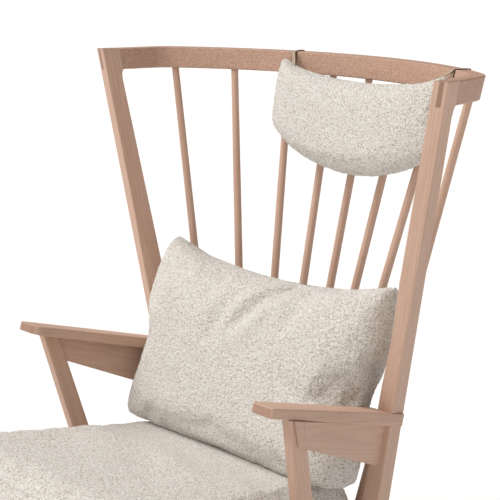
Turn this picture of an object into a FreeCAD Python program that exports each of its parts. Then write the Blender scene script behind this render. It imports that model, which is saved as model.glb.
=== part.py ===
import FreeCAD, Part
import math
import os

# Wooden high-back lounge armchair. Millimetres, +Z up, +X to the sitter's left,
# the chair faces -Y. Origin on the floor, on the mirror plane.
os.makedirs("parts", exist_ok=True)
V = FreeCAD.Vector

# ---- driving dimensions -------------------------------------------------
TOTAL_H = 1000.0          # floor to top of the back rail
GLIDE_H = 4.0             # felt glide under each foot

# back stiles: outer front edge, from the top down to the kink and the foot
STILE_TOP = V(403.0, 104.0, TOTAL_H)
STILE_DX, STILE_DY = 0.213, -0.0613      # slope of that edge per mm of height
STILE_KINK_Z = 180.0                     # below this the stile rakes backward
STILE_FOOT = V(203.0, 202.0, GLIDE_H)
TOE = math.radians(12.0)                 # stiles and side rails turn out in plan
ARM_REAR_Z = 478.0                       # the stile is at its working width behind the arm
STILE_W = {TOTAL_H: 24.5, ARM_REAR_Z: 27.8, STILE_KINK_Z: 30.0, GLIDE_H: 24.0}
STILE_D = {TOTAL_H: 28.5, ARM_REAR_Z: 38.0, STILE_KINK_Z: 44.0, GLIDE_H: 28.0}
FACET = dict(top=720.0, mid=600.0, low=492.0, depth=0.44, width=3.5)

# bent back rail: a three-centre curve in plan, faces leaning outward
RAIL_H, RAIL_T = 37.0, 24.5
RAIL_BLOCK_D = 34.0       # depth of the stile head that the rail butts against
RAIL_STRAIGHT = 69.0
RAIL_CORNER_R = 74.0
RAIL_CORNER_END = math.radians(53.3)     # heading where the back arc starts
TENON_IN, TENON_W = 7.0, 7.5             # bridle tenon: distance from outer face, width
COVE_DROP = 14.0          # cove between stile and underside of the rail

# spindles: (x, y) under the rail and at the spindle rail, right half
SPINDLE_D, SPINDLE_NECK_D = 14.0, 12.6
SPINDLE_TOPS = [(338.5, 235.5), (238.5, 292.0), (135.3, 330.0), (41.6, 344.4)]
SPINDLE_FEET = [(173.0, 189.5), (95.5, 183.0), (54.8, 186.0), (22.0, 191.0)]
SPINDLE_RAIL = dict(z0=205.0, z1=262.0, y0=172.0, y1=202.0, half=198.0)
SOCKET_GAP = 0.12         # radial room round every dowel, pin and tenon

# seat frame
SEAT_Z0, SEAT_SLOPE = 262.0, math.radians(6.0)   # platform height at y = 0, slope
SIDE_RAIL_T, SIDE_RAIL_H = 22.0, 52.0
FRONT_Y = -345.0
FRONT_RAIL_T = 22.0
FRONT_LEG_T, FRONT_LEG_D, FRONT_LEG_SETBACK = 26.0, 34.0, 12.0
FRONT_FOOT_T, FRONT_FOOT_D = 21.0, 24.0
FRONT_FOOT_SHIFT = V(-34.0, -6.0, 0)       # foot relative to the joint with the side rail
LEG_BLANK_TOP = 340.0     # the leg is made this tall, then trimmed to the sloping platform
LEDGE = 16.0
SLAT_N, SLAT_W, SLAT_T, SLAT_DOWN, SLAT_SPAN = 5, 50.0, 10.0, 6.0, 430.0
SLAT_REAR_CLEAR = 28.0
BOLT_R, BOLT_HEAD_R, BOLT_HEAD_T, BOLT_SINK = 3.0, 6.0, 3.5, 2.2
DOWEL_R = 3.0
GLIDE_R = 9.5
EDGE_R = 2.0              # eased edges on the timber

# arms: boards with a full-round inner front corner, thinning forward
ARM_REAR_Y, ARM_FRONT_Y = 136.0, -141.6
ARM_FRONT_Z = 555.4
ARM_OUT_REAR, ARM_OUT_FRONT = 292.3, 308.4
ARM_IN_REAR, ARM_IN_FRONT = 253.9, 260.5
ARM_T_REAR, ARM_T_FRONT = 20.7, 15.0
ARM_R_IN, ARM_R_OUT = 16.0, 5.0
STRUT_T = 17.2
STRUT_TOP = dict(x=307.5, y=-105.8, z=525.0, d=29.7)
STRUT_LOW = dict(x=275.2, y=-39.0, z=250.0, d=36.0)
PANEL_T = 14.0
PANEL_FRONT_Z, PANEL_REAR = 472.0, V(262.0, 136.0, 383.0)

# soft parts
SEAT_T, SEAT_GAP = 104.0, 0.5
SEAT_REAR_Y, SEAT_FRONT_Y, SEAT_SIDE_IN = 150.0, -368.1, 4.0
LUMBAR = dict(w=486.0, h=332.0, t=126.0, r=58.0, y=80.0, z=361.5, lean=math.radians(17.0))
PILLOW = dict(w=388.0, h=176.0, t=56.0, r=27.0, turn=math.radians(-8.0), lean=math.radians(9.0),
              mid=V(72.0, 263.0, 895.0))
COVER_T = 14.0            # cover with its wadding, outside the foam
STRAP_W, STRAP_T, STRAP_GAP = 10.0, 1.5, 0.6
STRAP_X = {"left": -121.0, "right": 286.0}


# ---- helpers --------------------------------------------------------------
def interp(table, z):
    """Straight-line value between the heights given in a table."""
    zs = sorted(table)
    for low, high in zip(zs, zs[1:]):
        if z <= high or high == zs[-1]:
            f = (z - low) / (high - low)
            return table[low] + (table[high] - table[low]) * f


def loft(sections):
    """Solid through closed polygons, flat or ruled sides."""
    wires = [Part.makePolygon(list(s) + [s[0]]) for s in sections]
    return Part.makeLoft(wires, True, True)


def eased(section, r=EDGE_R):
    """Closed outline of a flat polygon with every corner rounded."""
    edges, n = [], len(section)
    starts, ends = [], []
    for i, p in enumerate(section):
        to_last, to_next = section[i - 1] - p, section[(i + 1) % n] - p
        to_last.normalize()
        to_next.normalize()
        starts.append(p + to_last * r)
        ends.append(p + to_next * r)
    for i, p in enumerate(section):
        middle = p + ((starts[i] + ends[i]) * 0.5 - p) * (2 - math.sqrt(2))
        edges.append(Part.Arc(starts[i], middle, ends[i]).toShape())
        edges.append(Part.makeLine(ends[i], starts[(i + 1) % n]))
    return Part.Wire(edges)


def eased_loft(sections):
    """Solid through polygons whose corners are rounded."""
    return Part.makeLoft([eased(s) for s in sections], True, True)


def rod(a, b, r, r2=None):
    """Round rod from a to b, tapered when r2 is given."""
    axis = b - a
    if r2 is None or abs(r2 - r) < 1e-6:
        return Part.makeCylinder(r, axis.Length, a, axis)
    return Part.makeCone(r, r2, axis.Length, a, axis)


def mirror(shape):
    return shape.mirror(V(0, 0, 0), V(1, 0, 0))


def slab(z0, z1):
    return Part.makeBox(1200, 1200, z1 - z0, V(-600, -600, z0))


def outside(points, away_from, size=400.0):
    """Box on the far side of a plane through three points."""
    p0, p1, p2 = points
    n = (p1 - p0).cross(p2 - p0)
    n.normalize()
    if n.dot(away_from - p0) > 0:
        n = n * -1
    u = p1 - p0
    u.normalize()
    w = n.cross(u)
    c = p0 - u * size / 2 - w * size / 2
    face = Part.Face(Part.makePolygon([c, c + u * size, c + u * size + w * size, c + w * size, c]))
    return face.extrude(n * size)


def rounded(shape, radius, pick=None):
    """Round the picked edges; keep the sharp shape where the rounding has no room."""
    edges = [e for e in shape.Edges if e.Length > 3 * radius and (pick is None or pick(e))]
    try:
        out = shape.makeFillet(radius, edges)
        if out.isValid() and len(out.Solids) == 1:
            return out.Solids[0]
    except Exception:
        pass
    return shape


def long_edge(e):
    return e.Length > 60.0


def save(name, shape):
    solids = shape.Solids
    for s in solids:
        assert s.isValid() and s.Volume > 1.0, name
    out = solids[0] if len(solids) == 1 else Part.makeCompound(solids)
    out.exportStep("parts/%s.step" % name)


# ---- stile geometry ---------------------------------------------------------
BACK = V(-math.sin(TOE), math.cos(TOE), 0)      # heading from front face to back face
OUT = V(math.cos(TOE), math.sin(TOE), 0)        # normal of the outer face


def stile_edge(z):
    """Outer front edge of the right stile at height z."""
    if z >= STILE_KINK_Z:
        drop = TOTAL_H - z
        return V(STILE_TOP.x - STILE_DX * drop, STILE_TOP.y - STILE_DY * drop, z)
    top = stile_edge(STILE_KINK_Z)
    return top + (STILE_FOOT - top) * ((STILE_KINK_Z - z) / (STILE_KINK_Z - GLIDE_H))


def stile_section(z, depth=None, width=None):
    d = depth or interp(STILE_D, z)
    w = width or interp(STILE_W, z)
    p = stile_edge(z)
    return [p, p - OUT * w, p - OUT * w + BACK * d, p + BACK * d]


def inner_edge(z):
    return stile_section(z)[1]


def rail_wire(z, off_out, off_in, start_at):
    """Closed plan outline of the back rail at height z."""
    drop = TOTAL_H - z
    lean = (stile_edge(TOTAL_H) - stile_edge(z)).dot(OUT)
    start = stile_edge(z) + BACK * start_at
    a, b = TOE, RAIL_CORNER_END
    top_a = stile_edge(TOTAL_H) + BACK * (RAIL_BLOCK_D + RAIL_STRAIGHT)
    c2 = top_a - OUT * RAIL_CORNER_R
    big_r = c2.x / math.cos(b) + RAIL_CORNER_R
    c1 = V(0, c2.y - math.sin(b) * (big_r - RAIL_CORNER_R), 0)

    def chain(off):
        def at(c, r, h):
            return V(c.x + (r - lean - off) * math.cos(h), c.y + (r - lean - off) * math.sin(h), z)
        s = V(start.x, start.y, z) - OUT * off
        return [s, at(c2, RAIL_CORNER_R, a), at(c2, RAIL_CORNER_R, (a + b) / 2),
                at(c2, RAIL_CORNER_R, b), at(c1, big_r, (b + math.pi / 2) / 2),
                at(c1, big_r, math.pi / 2)]

    def side(off):
        right = chain(off)
        left = [V(-p.x, p.y, p.z) for p in right]
        edges = [Part.makeLine(right[0], right[1]), Part.Arc(*right[1:4]).toShape(),
                 Part.Arc(*right[3:6]).toShape(), Part.Arc(left[5], left[4], left[3]).toShape(),
                 Part.Arc(left[3], left[2], left[1]).toShape(), Part.makeLine(left[1], left[0])]
        return edges, right[0], left[0]

    outer, r0, l0 = side(off_out)
    inner, r1, l1 = side(off_in)
    back_way = [e.reversed() for e in reversed(inner)]
    return Part.Wire(outer + [Part.makeLine(l0, l1)] + back_way + [Part.makeLine(r1, r0)])


def rail_tenon():
    """Open bridle tenon through the head of the right stile."""
    quads = []
    for z in (TOTAL_H - RAIL_H, TOTAL_H):
        p = stile_edge(z) - OUT * TENON_IN
        q = p - OUT * TENON_W
        quads.append([p, q, q + BACK * RAIL_BLOCK_D, p + BACK * RAIL_BLOCK_D])
    return loft(quads)


def make_stile():
    body = eased_loft([stile_section(z) for z in (GLIDE_H, STILE_KINK_Z, ARM_REAR_Z, TOTAL_H)])
    # deeper head with a cove under the rail
    under, low = TOTAL_H - RAIL_H, TOTAL_H - RAIL_H - COVE_DROP
    lean_slab = loft([stile_section(z, depth=80.0) for z in (low - 10, TOTAL_H)])

    def along(z, s):
        return V(0, 0, z) + stile_edge(z).dot(BACK) * BACK + BACK * s + OUT * 300
    p1, p2 = along(TOTAL_H, RAIL_BLOCK_D), along(under, RAIL_BLOCK_D)
    p4 = along(low, interp(STILE_D, low))
    p3 = along(low + COVE_DROP * 0.68, interp(STILE_D, low) + 1.4)
    p5, p6 = along(low, 12.0), along(TOTAL_H, 12.0)
    profile = Part.Wire([Part.makeLine(p1, p2), Part.Arc(p2, p3, p4).toShape(), Part.makeLine(p4, p5),
                         Part.makeLine(p5, p6), Part.makeLine(p6, p1)])
    head = Part.Face(profile).extrude(OUT * 200).common(lean_slab)
    body = body.fuse(head).removeSplitter()
    # long shallow facet worked on the inner front corner
    mid = stile_section(FACET["mid"])
    on_side = mid[1] + BACK * (FACET["depth"] * interp(STILE_D, FACET["mid"]))
    on_front = mid[1] + OUT * FACET["width"]
    heart = (mid[0] + mid[2]) * 0.5
    tool = outside([inner_edge(FACET["top"]), on_side, on_front], heart)
    tool = tool.common(outside([inner_edge(FACET["low"]), on_side, on_front], heart))
    body = body.cut(tool)
    return body.cut(rail_tenon()).removeSplitter()


def inner_plane(s, z):
    """Point on the plane of the stile's inner face, s mm behind its front edge."""
    return inner_edge(z) + BACK * s


def on_platform(s, down, inset):
    """Point on that plane, down mm below the sloping platform, inset toward the middle."""
    z = SEAT_Z0
    for _ in range(20):
        z = SEAT_Z0 - math.tan(SEAT_SLOPE) * (inner_plane(s, z).y) - down
    return inner_plane(s, z) - OUT * inset


def s_at(y, z=SEAT_Z0):
    """Distance along the side rail at which it reaches y."""
    return (y - inner_edge(z).y) / BACK.y


def side_beam(s0, s1, top, bottom, face, back):
    """Beam along the side rail between two insets, following the platform."""
    return loft([[on_platform(s, top, face), on_platform(s, bottom, face),
                  on_platform(s, bottom, back), on_platform(s, top, back)] for s in (s0, s1)])


def platform_z(y):
    return SEAT_Z0 - math.tan(SEAT_SLOPE) * y


# ---- wooden frame -----------------------------------------------------------
parts = {}
stile = make_stile()
tenon = rail_tenon()

top_wire = rail_wire(TOTAL_H, 0.0, RAIL_T, RAIL_BLOCK_D)
low_wire = rail_wire(TOTAL_H - RAIL_H, 0.0, RAIL_T, RAIL_BLOCK_D)
rail = rounded(Part.makeLoft([low_wire, top_wire], True, True), EDGE_R, long_edge)

# seat frame: side rails against the inner faces of the stiles
rear_s = s_at(SPINDLE_RAIL["y0"])
front_s = s_at(FRONT_Y)
side_rail = side_beam(front_s, rear_s + 12, 0.0, SIDE_RAIL_H, 0.0, SIDE_RAIL_T)
side_rail = side_rail.cut(Part.makeBox(800, 200, 600, V(-400, SPINDLE_RAIL["y0"], 0)))
spindle_rail = Part.makeBox(2 * SPINDLE_RAIL["half"], SPINDLE_RAIL["y1"] - SPINDLE_RAIL["y0"],
                            SPINDLE_RAIL["z1"] - SPINDLE_RAIL["z0"],
                            V(-SPINDLE_RAIL["half"], SPINDLE_RAIL["y0"], SPINDLE_RAIL["z0"]))
spindle_rail = rounded(spindle_rail, 3.0, lambda e: abs(e.tangentAt(e.FirstParameter).x) > 0.9)

front_box = Part.makeBox(800, FRONT_RAIL_T, 400, V(-400, FRONT_Y, 100))
front_slope = loft([[V(x, y, platform_z(y) - down) for x, y in ((-400, FRONT_Y - 40), (400, FRONT_Y - 40),
                                                                (400, FRONT_Y + 60), (-400, FRONT_Y + 60))]
                    for down in (0, SIDE_RAIL_H)])


def between_rails(s):
    """Cross section of the room between the two side rails, s mm along them."""
    right = [on_platform(s, down, SIDE_RAIL_T) for down in (-60.0, 140.0)]
    return right + [V(-p.x, p.y, p.z) for p in reversed(right)]


side_space = loft([between_rails(s) for s in (front_s - 60, rear_s)])
front_rail = front_box.common(front_slope).common(side_space).cut(side_rail).cut(mirror(side_rail))

# front legs lap the outer faces of the side rails and taper to the floor
leg_s = front_s + FRONT_LEG_SETBACK
leg_low_z = on_platform(leg_s, SIDE_RAIL_H + 4, 0).z


def leg_quad(p, t, d):
    return [p, p + OUT * t, p + OUT * t + BACK * d, p + BACK * d]


leg_foot = leg_quad(inner_plane(leg_s, leg_low_z) + FRONT_FOOT_SHIFT + V(0, 0, GLIDE_H - leg_low_z),
                    FRONT_FOOT_T, FRONT_FOOT_D)
leg_sections = [leg_quad(inner_plane(leg_s, z), FRONT_LEG_T, FRONT_LEG_D)
                for z in (leg_low_z, LEG_BLANK_TOP)]
front_leg = eased_loft([leg_foot] + leg_sections)
above = loft([[V(x, y, platform_z(y) + h) for x, y in ((-500, -500), (500, -500), (500, 300), (-500, 300))]
              for h in (0.0, 120.0)])
front_leg = front_leg.cut(above)

# arms
def arm_outline(z):
    """Plan outline with the round front corners, swept upward from z."""
    rear_y, front_y = ARM_REAR_Y + 30, ARM_FRONT_Y - 6

    def x_at(y, rear, front):
        return rear + (front - rear) * (ARM_REAR_Y - y) / (ARM_REAR_Y - ARM_FRONT_Y)
    pts = [V(x_at(y, r, f), y, z) for y, r, f in
           ((rear_y, ARM_IN_REAR, ARM_IN_FRONT), (rear_y, ARM_OUT_REAR, ARM_OUT_FRONT),
            (front_y, ARM_OUT_REAR, ARM_OUT_FRONT), (front_y, ARM_IN_REAR, ARM_IN_FRONT))]
    return Part.Face(Part.makePolygon(pts + [pts[0]])).extrude(V(0, 0, 200))


ARM_RUN = V(0, ARM_FRONT_Y - ARM_REAR_Y, ARM_FRONT_Z - ARM_REAR_Z)
ARM_RUN.normalize()
ARM_DOWN = V(0, -ARM_RUN.z, ARM_RUN.y)
ARM_REAR, ARM_FRONT = V(0, ARM_REAR_Y, ARM_REAR_Z), V(0, ARM_FRONT_Y, ARM_FRONT_Z)


def make_arm():
    side = [ARM_REAR - ARM_RUN * 30, ARM_FRONT, ARM_FRONT + ARM_DOWN * ARM_T_FRONT,
            ARM_REAR + ARM_DOWN * ARM_T_REAR - ARM_RUN * 30]
    wedge = Part.Face(Part.makePolygon([p + V(200, 0, 0) for p in side + [side[0]]])).extrude(V(200, 0, 0))
    board = wedge.common(arm_outline(400.0)).cut(full_stile)

    def corner(e, x):
        mid = e.CenterOfMass
        return mid.y < ARM_FRONT_Y + 2 and abs(mid.x - x) < 3 and e.Length < 30
    board = board.Solids[0]
    for x, r in ((ARM_IN_FRONT, ARM_R_IN), (ARM_OUT_FRONT, ARM_R_OUT)):
        edges = [e for e in board.Edges if corner(e, x)]
        board = board.makeFillet(r, edges)
    return rounded(board.Solids[0], EDGE_R, lambda e: e.CenterOfMass.y < ARM_REAR_Y - 12)


# the stile as a plain block that also fills everything behind its front face
full_stile = loft([stile_section(z, depth=160.0, width=90.0) for z in (430.0, 520.0)])
arm = make_arm()


def strut_quad(z):
    f = (z - STRUT_LOW["z"]) / (STRUT_TOP["z"] - STRUT_LOW["z"])
    x, y, d = (STRUT_LOW[k] + (STRUT_TOP[k] - STRUT_LOW[k]) * f for k in "xyd")
    return [V(x, y, z), V(x - STRUT_T, y, z), V(x - STRUT_T, y + d, z), V(x, y + d, z)]


def under_arm(shape):
    """Keep only what lies below the underside of the arm board."""
    a = ARM_REAR + ARM_DOWN * ARM_T_REAR
    b = ARM_FRONT + ARM_DOWN * ARM_T_FRONT
    return shape.cut(outside([a, b, a + V(100, 0, 0)], V(0, 0, 0), 1500.0))


strut = under_arm(loft([strut_quad(z) for z in (STRUT_LOW["z"], 575.0)]))
strut_floor = on_platform(s_at(-30.0), SIDE_RAIL_H - 6.0, 0).z
strut = strut.cut(slab(0, strut_floor)).cut(side_rail)
strut = rounded(max(strut.Solids, key=lambda s: s.Volume), EDGE_R, long_edge)

# knee panel between strut and stile, under the board
q_low, q_high = strut_quad(PANEL_FRONT_Z), strut_quad(530.0)
front_sec = [q_low[3], q_high[3], q_high[3] - V(PANEL_T, 0, 0), q_low[3] - V(PANEL_T, 0, 0)]
rear_low = PANEL_REAR
rear_high = PANEL_REAR + V(STILE_DX, STILE_DY, 1.0) * 90.0
rear_sec = [rear_low, rear_high, rear_high - V(PANEL_T, 0, 0), rear_low - V(PANEL_T, 0, 0)]
reach = [(b - a) * 0.12 for a, b in zip(front_sec, rear_sec)]
panel = loft([[a - r for a, r in zip(front_sec, reach)], [b + r for b, r in zip(rear_sec, reach)]])
behind_stile = loft([stile_section(z, depth=90.0, width=90.0) for z in (300.0, 600.0)])
panel = under_arm(panel).cut(strut).cut(behind_stile)
panel = rounded(max(panel.Solids, key=lambda s: s.Volume), EDGE_R, long_edge)

# slats on ledges
ledge = side_beam(s_at(FRONT_Y + FRONT_RAIL_T), s_at(150.0), SLAT_DOWN + SLAT_T, SLAT_DOWN + SLAT_T + LEDGE,
                  SIDE_RAIL_T, SIDE_RAIL_T + LEDGE)
ledge = ledge.cut(front_box)
slat_rows = [FRONT_Y + FRONT_RAIL_T + SLAT_REAR_CLEAR + i * (SLAT_SPAN - SLAT_W) / (SLAT_N - 1)
             for i in range(SLAT_N)]
slats = []
for y in slat_rows:
    ends = []
    for down in (SLAT_DOWN, SLAT_DOWN + SLAT_T):
        quad = []
        for yy in (y, y + SLAT_W):
            p = on_platform(s_at(yy), down, SIDE_RAIL_T + 1.0)
            quad.append(V(p.x, yy, platform_z(yy) - down))
        ends.append(quad + [V(-q.x, q.y, q.z) for q in reversed(quad)])
    slats.append(rounded(loft(ends).cut(side_rail).cut(mirror(side_rail)).Solids[0], EDGE_R, long_edge))

# ---- spindles -----------------------------------------------------------------
spindles = []
under_rail = TOTAL_H - RAIL_H
rail_sockets, foot_sockets = [], []
for (tx, ty), (bx, by) in zip(SPINDLE_TOPS, SPINDLE_FEET):
    top, foot = V(tx, ty, under_rail), V(bx, by, SPINDLE_RAIL["z1"])
    u = (top - foot)
    u.normalize()
    neck = foot + (top - foot) * 0.55
    taper = rod(neck, top + u * 20, SPINDLE_D / 2, SPINDLE_NECK_D / 2)
    shaft = rod(foot - u * 20, neck, SPINDLE_D / 2).fuse(taper)
    shaft = shaft.common(slab(SPINDLE_RAIL["z1"], under_rail))
    shaft = shaft.fuse(rod(top - u * 6, top + u * 20, 5.0)).fuse(rod(foot + u * 6, foot - u * 24, 5.5))
    spindles.append(shaft.removeSplitter())
    rail_sockets.append(rod(top - u * 6, top + u * 21, 5.0 + SOCKET_GAP))
    foot_sockets.append(rod(foot + u * 6, foot - u * 25, 5.5 + SOCKET_GAP))

for s in rail_sockets:
    rail = rail.cut(s).cut(mirror(s))
rail = rail.fuse(tenon).fuse(mirror(tenon)).removeSplitter()
for s in foot_sockets:
    spindle_rail = spindle_rail.cut(s).cut(mirror(s))
spindle_rail = spindle_rail.cut(stile).cut(mirror(stile))

# ---- fasteners ------------------------------------------------------------------
def bolt_pair(s, downs, reach_out):
    """Bolts from inside the side rail outward, and the holes they need."""
    bolts, holes = [], []
    for down in downs:
        p = on_platform(s, down, SIDE_RAIL_T)
        seat = p + OUT * BOLT_SINK
        end = p + OUT * (SIDE_RAIL_T + reach_out)
        bolts.append(rod(seat, end, BOLT_R).fuse(rod(seat - OUT * BOLT_HEAD_T, seat, BOLT_HEAD_R)))
        recess = rod(p - OUT * 6, seat, BOLT_HEAD_R + 0.4)
        holes.append(rod(seat, end + OUT, BOLT_R + SOCKET_GAP).fuse(recess))
    return bolts, holes


LOW_ROW = SIDE_RAIL_H - 11.0
stile_bolts, h1 = bolt_pair(s_at(164.0), (LOW_ROW - 16, LOW_ROW), 18.0)
strut_bolts, h2 = bolt_pair(s_at(-24.0), (LOW_ROW - 3,), 10.0)
leg_bolts, h3 = bolt_pair(leg_s + FRONT_LEG_D - 12.0, (LOW_ROW - 2,), 16.0)
side_rail = rounded(side_rail.Solids[0], EDGE_R, long_edge)
for h in h1 + h2 + h3:
    side_rail = side_rail.cut(h)
for h in h1:
    stile = stile.cut(h)
for h in h2:
    strut = strut.cut(h)
for h in h3:
    front_leg = front_leg.cut(h)

# dowels that hold each arm board down on its strut and panel
dowels = []
for x, y in ((296.0, -88.0), (276.0, 96.0)):
    f = (ARM_REAR_Y - y) / (ARM_REAR_Y - ARM_FRONT_Y)
    z_mid = ARM_REAR_Z + (ARM_FRONT_Z - ARM_REAR_Z) * f - (ARM_T_REAR + (ARM_T_FRONT - ARM_T_REAR) * f)
    dowels.append(rod(V(x, y, z_mid - 14), V(x, y, z_mid + 8), DOWEL_R))
    hole = rod(V(x, y, z_mid - 15), V(x, y, z_mid + 9), DOWEL_R + SOCKET_GAP)
    arm, strut, panel = arm.cut(hole), strut.cut(hole), panel.cut(hole)

# glides
def glide(p):
    return Part.makeCylinder(GLIDE_R, GLIDE_H, V(p.x, p.y, 0))


stile_foot = stile_section(GLIDE_H)
rear_glide = glide((stile_foot[0] + stile_foot[2]) * 0.5)
front_glide = glide((leg_foot[0] + leg_foot[2]) * 0.5)


# ---- soft parts --------------------------------------------------------------------
def soft_block(face, thick, radius):
    """Cushion as a block with every edge rounded."""
    block = face.extrude(thick)
    return block.makeFillet(radius, block.Edges).Solids[0]


def seat_block(grow, low, high, radius):
    """Seat cushion outline swept square to the sloping platform."""
    up = V(0, math.sin(SEAT_SLOPE), math.cos(SEAT_SLOPE))
    rear, front = on_platform(s_at(SEAT_REAR_Y), 0, 0), on_platform(s_at(SEAT_FRONT_Y), 0, 0)
    half = []
    for p, y in ((rear, SEAT_REAR_Y - grow), (front, SEAT_FRONT_Y + grow)):
        half.append(V(p.x - SEAT_SIDE_IN - grow, y, platform_z(y)))
    pts = [half[0], half[1], V(-half[1].x, half[1].y, half[1].z), V(-half[0].x, half[0].y, half[0].z)]
    pts = [p + up * (SEAT_GAP + low) for p in pts]
    face = Part.Face(Part.makePolygon(pts + [pts[0]]))
    return soft_block(face, up * (high - low), radius)


seat_outer = seat_block(0.0, 0.0, SEAT_T, 22.0)
seat_core = seat_block(COVER_T, COVER_T, SEAT_T - COVER_T, 9.0)
seat_cover = seat_outer.cut(seat_core)


def lumbar_block(grow, radius):
    w, h, t = (LUMBAR[k] - 2 * grow for k in "wht")
    up = V(0, math.sin(LUMBAR["lean"]), math.cos(LUMBAR["lean"]))
    back = V(0, math.cos(LUMBAR["lean"]), -math.sin(LUMBAR["lean"]))
    base = V(0, LUMBAR["y"], LUMBAR["z"]) + up * grow - back * (t / 2)
    left, right = base + V(-w / 2, 0, 0), base + V(w / 2, 0, 0)
    pts = [left, right, right + up * h, left + up * h]
    return soft_block(Part.Face(Part.makePolygon(pts + [pts[0]])), back * t, radius)


lumbar_outer = lumbar_block(0.0, LUMBAR["r"])
lumbar_core = lumbar_block(COVER_T, LUMBAR["r"] - COVER_T)
lumbar_cover = lumbar_outer.cut(lumbar_core)

pw = V(math.cos(PILLOW["turn"]), math.sin(PILLOW["turn"]), 0)
pb0 = V(-math.sin(PILLOW["turn"]), math.cos(PILLOW["turn"]), 0)
pu = pb0 * math.sin(PILLOW["lean"]) + V(0, 0, math.cos(PILLOW["lean"]))
pb = pb0 * math.cos(PILLOW["lean"]) - V(0, 0, math.sin(PILLOW["lean"]))


def pillow_block(grow, radius):
    """Half-moon neck pillow: straight top, deep curved bottom."""
    w, h, t = PILLOW["w"] / 2 - grow, PILLOW["h"] / 2 - grow, PILLOW["t"] - 2 * grow

    def at(s, v):
        return PILLOW["mid"] + pw * s + pu * v - pb * (t / 2)
    a, b = at(-w * 0.93, h), at(w * 0.93, h)
    c, d = at(w, 0.0), at(-w, 0.0)
    wire = Part.Wire([Part.makeLine(a, b), Part.makeLine(b, c), Part.Arc(c, at(0, -h), d).toShape(),
                      Part.makeLine(d, a)])
    return soft_block(Part.Face(wire), pb * t, radius)


pillow_outer = pillow_block(0.0, PILLOW["r"])
pillow_core = pillow_block(COVER_T - 4.0, PILLOW["r"] - COVER_T + 4.0)
pillow_cover = pillow_outer.cut(pillow_core)


# ---- straps: a band round the rail and a short hanger down to the pillow -------------
def inner_top_edge(x):
    """Where the rail's inner top edge crosses x."""
    line = Part.makeLine(V(x, 100, TOTAL_H), V(x, 500, TOTAL_H))
    near = [e.distToShape(line) for e in top_wire.Edges]
    return V(x, min(d[1][0][0].y for d in near if d[0] < 1e-4), TOTAL_H)


def rail_frame(x):
    """Inner top edge of the rail at x, the direction along it and its normal."""
    inner = inner_top_edge(x)
    along = inner_top_edge(x + 1.0) - inner
    along.normalize()
    n = V(-along.y, along.x, 0)
    return inner, along, n if n.y > 0 else n * -1


gap = STRAP_GAP
for name, x in STRAP_X.items():
    inner, along, n = rail_frame(x)
    lean = (stile_edge(TOTAL_H) - stile_edge(under_rail)).dot(OUT)

    def ring(g):
        """Band outline round the rail section, g mm clear of it."""
        a = inner - n * g + V(0, 0, g)
        b = inner + n * (RAIL_T + g) + V(0, 0, g)
        c = inner + n * (RAIL_T + g - lean) - V(0, 0, RAIL_H + g)
        d = inner - n * (g + lean) - V(0, 0, RAIL_H + g)
        return [p - along * (STRAP_W / 2) for p in (a, b, c, d)]
    outer, inside = [Part.Face(Part.makePolygon(r + r[:1])).extrude(along * STRAP_W)
                     for r in (ring(gap + STRAP_T), ring(gap))]
    parts["strap_loop_" + name] = outer.cut(inside)
    hinge = inner - n * (gap + STRAP_T + 1.6) + V(0, 0, gap)
    print("hinge point", name, hinge)

    # hanger: flat strip from beside the loop to the pillow's top corner
    sign = 1 if x > PILLOW["mid"].x else -1
    corner = PILLOW["mid"] + pw * (sign * (PILLOW["w"] / 2 * 0.93 - 20)) + pu * (PILLOW["h"] / 2 - 4)
    start = hinge - n * 2.4 - V(0, 0, STRAP_W * 0.55)
    run = corner - start
    run.normalize()
    flat = n.cross(run)
    flat.normalize()
    thick = flat.cross(run)
    thick.normalize()
    c0 = start - flat * (STRAP_W / 2) - thick * (STRAP_T / 2)
    strip = Part.Face(Part.makePolygon([c0, c0 + flat * STRAP_W, c0 + flat * STRAP_W + thick * STRAP_T,
                                        c0 + thick * STRAP_T, c0])).extrude(corner - start)
    parts["strap_hanger_" + name] = strip.cut(pillow_outer)


# ---- write every part -----------------------------------------------------------------
for name, shape in (("stile", stile), ("side_rail", side_rail), ("front_leg", front_leg), ("arm", arm),
                    ("arm_strut", strut), ("arm_panel", panel), ("slat_ledge", ledge),
                    ("front_glide", front_glide), ("rear_glide", rear_glide)):
    parts[name + "_right"] = shape
    parts[name + "_left"] = mirror(shape)
parts["back_rail"] = rail
parts["spindle_rail"] = spindle_rail
parts["front_rail"] = front_rail
for i, s in enumerate(spindles):
    parts["spindle_%d" % (8 - i)] = s
    parts["spindle_%d" % (1 + i)] = mirror(s)
for i, s in enumerate(slats):
    parts["slat_%d" % (i + 1)] = s
for name, group in (("stile_bolts", stile_bolts), ("strut_bolts", strut_bolts), ("leg_bolts", leg_bolts),
                    ("arm_dowels", dowels)):
    parts[name] = Part.makeCompound(group + [mirror(g) for g in group])
parts["seat_cover"], parts["seat_foam"] = seat_cover, seat_core
parts["lumbar_cover"], parts["lumbar_foam"] = lumbar_cover, lumbar_core
parts["neck_cover"], parts["neck_foam"] = pillow_cover, pillow_core

for name, shape in parts.items():
    save(name, shape)
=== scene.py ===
import math

import bmesh
import bpy
import numpy as np
from mathutils import Matrix, Vector, noise


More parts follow.
